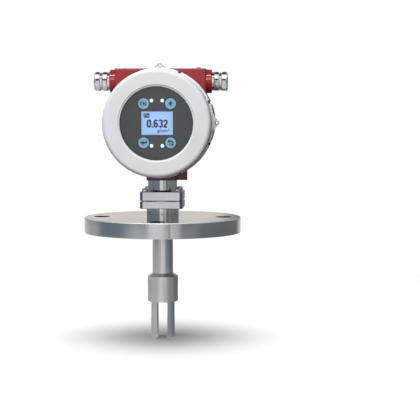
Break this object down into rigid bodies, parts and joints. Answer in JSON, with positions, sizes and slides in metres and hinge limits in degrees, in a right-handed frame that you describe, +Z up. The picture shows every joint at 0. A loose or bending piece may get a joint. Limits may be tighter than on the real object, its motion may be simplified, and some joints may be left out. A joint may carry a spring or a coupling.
{
  "type": "tuning fork density meter",
  "caption": "Flanged tuning fork density meter: a vibrating fork on a stem below a round process flange, and a sealed display head with screwed covers and cable glands on top.",
  "frame": {"origin": "centre of the bolt circle on the process flange's underside, on the stem's axis", "axes": "+Z up the stem from the fork to the head, -Y out of the display, +X to the reader's right"},
  "size_m": [0.185, 0.185, 0.3233],
  "materials": {
    "stainless_steel": "turned and brushed stainless steel",
    "screw_steel": "plain steel fasteners",
    "red_paint": "semi-gloss red paint on a casting",
    "white_paint": "satin white paint on a casting",
    "nickel_plate": "bright nickel plating on brass",
    "black_rubber": "smooth black rubber",
    "window_glass": "clear toughened glass",
    "machined_aluminium": "machined aluminium",
    "panel_grey": "matt dark grey panel",
    "display_blue": "backlit blue display",
    "key_blue": "sky blue key windows",
    "lamp_white": "white lamp lenses",
    "circuit_board": "green circuit board",
    "spacer_brass": "turned brass",
    "black_plastic": "black moulded plastic",
    "terminal_plastic": "green moulded plastic",
    "cable_sheath": "dark cable sheath",
    "piezo_ceramic": "fired ceramic disc",
    "insulator_ceramic": "white fired ceramic"
  },
  "bodies": {
    "meter": {"process_flange": "stainless_steel", "stem_tube": "stainless_steel", "sensor_collar": "stainless_steel", "tuning_fork": "stainless_steel", "lower_neck": "stainless_steel", "lower_square_flange": "stainless_steel", "upper_square_flange": "stainless_steel", "upper_neck": "stainless_steel", "flange_screws": "screw_steel", "neck_lock_screw": "screw_steel", "top_screw": "screw_steel", "inner_earth_screw": "screw_steel", "preload_bolt": "screw_steel", "temperature_sensor": "screw_steel", "housing_body": "red_paint", "gland_body_left": "nickel_plate", "gland_body_right": "nickel_plate", "neck_o_ring": "black_rubber", "flange_gasket": "black_rubber", "cable_grommet": "black_rubber", "gland_seal_left": "black_rubber", "gland_seal_right": "black_rubber", "face_plate": "panel_grey", "lcd_module": "display_blue", "key_upper_left": "key_blue", "key_upper_right": "key_blue", "key_lower_left": "key_blue", "key_lower_right": "key_blue", "status_leds": "lamp_white", "display_board": "circuit_board", "main_board": "circuit_board", "display_standoffs": "spacer_brass", "board_standoffs": "spacer_brass", "stack_electrode": "spacer_brass", "terminal_screws": "spacer_brass", "sensor_connector": "black_plastic", "terminal_block": "terminal_plastic", "signal_cable": "cable_sheath", "drive_piezo": "piezo_ceramic", "pickup_piezo": "piezo_ceramic", "stack_insulators": "insulator_ceramic"},
    "front_seal": {"front_cover_o_ring": "black_rubber"},
    "front_cover": {"front_cover": "white_paint", "window_gasket": "black_rubber", "window_glass": "window_glass", "window_retainer": "machined_aluminium"},
    "rear_seal": {"rear_cover_o_ring": "black_rubber"},
    "rear_cover": {"rear_cover": "red_paint"},
    "left_slip_ring": {"gland_ring_left": "black_plastic"},
    "left_gland_nut": {"gland_nut_left": "nickel_plate"},
    "right_slip_ring": {"gland_ring_right": "black_plastic"},
    "right_gland_nut": {"gland_nut_right": "nickel_plate"}
  },
  "joints": [
    {"name": "front_cover_travel", "type": "slide", "parent": "meter", "child": "front_seal", "axis": [0, -1, 0], "range_m": [0, 0.01]},
    {"name": "front_cover_turn", "type": "hinge", "parent": "front_seal", "child": "front_cover", "pos_m": [0, -0.06, 0.1296], "axis": [0, -1, 0], "range_deg": [0, 1800]},
    {"name": "rear_cover_travel", "type": "slide", "parent": "meter", "child": "rear_seal", "axis": [0, 1, 0], "range_m": [0, 0.01]},
    {"name": "rear_cover_turn", "type": "hinge", "parent": "rear_seal", "child": "rear_cover", "pos_m": [0, 0.04, 0.1296], "axis": [0, 1, 0], "range_deg": [0, 1800]},
    {"name": "left_nut_travel", "type": "slide", "parent": "meter", "child": "left_slip_ring", "axis": [-1, 0, 0], "range_m": [0, 0.0045]},
    {"name": "left_nut_turn", "type": "hinge", "parent": "left_slip_ring", "child": "left_gland_nut", "pos_m": [-0.07, -0.017, 0.1776], "axis": [-1, 0, 0], "range_deg": [0, 1080]},
    {"name": "right_nut_travel", "type": "slide", "parent": "meter", "child": "right_slip_ring", "axis": [1, 0, 0], "range_m": [0, 0.0045]},
    {"name": "right_nut_turn", "type": "hinge", "parent": "right_slip_ring", "child": "right_gland_nut", "pos_m": [0.07, -0.017, 0.1776], "axis": [1, 0, 0], "range_deg": [0, 1080]}
  ],
  "couplings": [
    {"joint": "front_cover_travel", "follows": "front_cover_turn", "m_per_rad": 0.00031831},
    {"joint": "rear_cover_travel", "follows": "rear_cover_turn", "m_per_rad": 0.00031831},
    {"joint": "left_nut_travel", "follows": "left_nut_turn", "m_per_rad": 0.00023873},
    {"joint": "right_nut_travel", "follows": "right_nut_turn", "m_per_rad": 0.00023873}
  ]
}
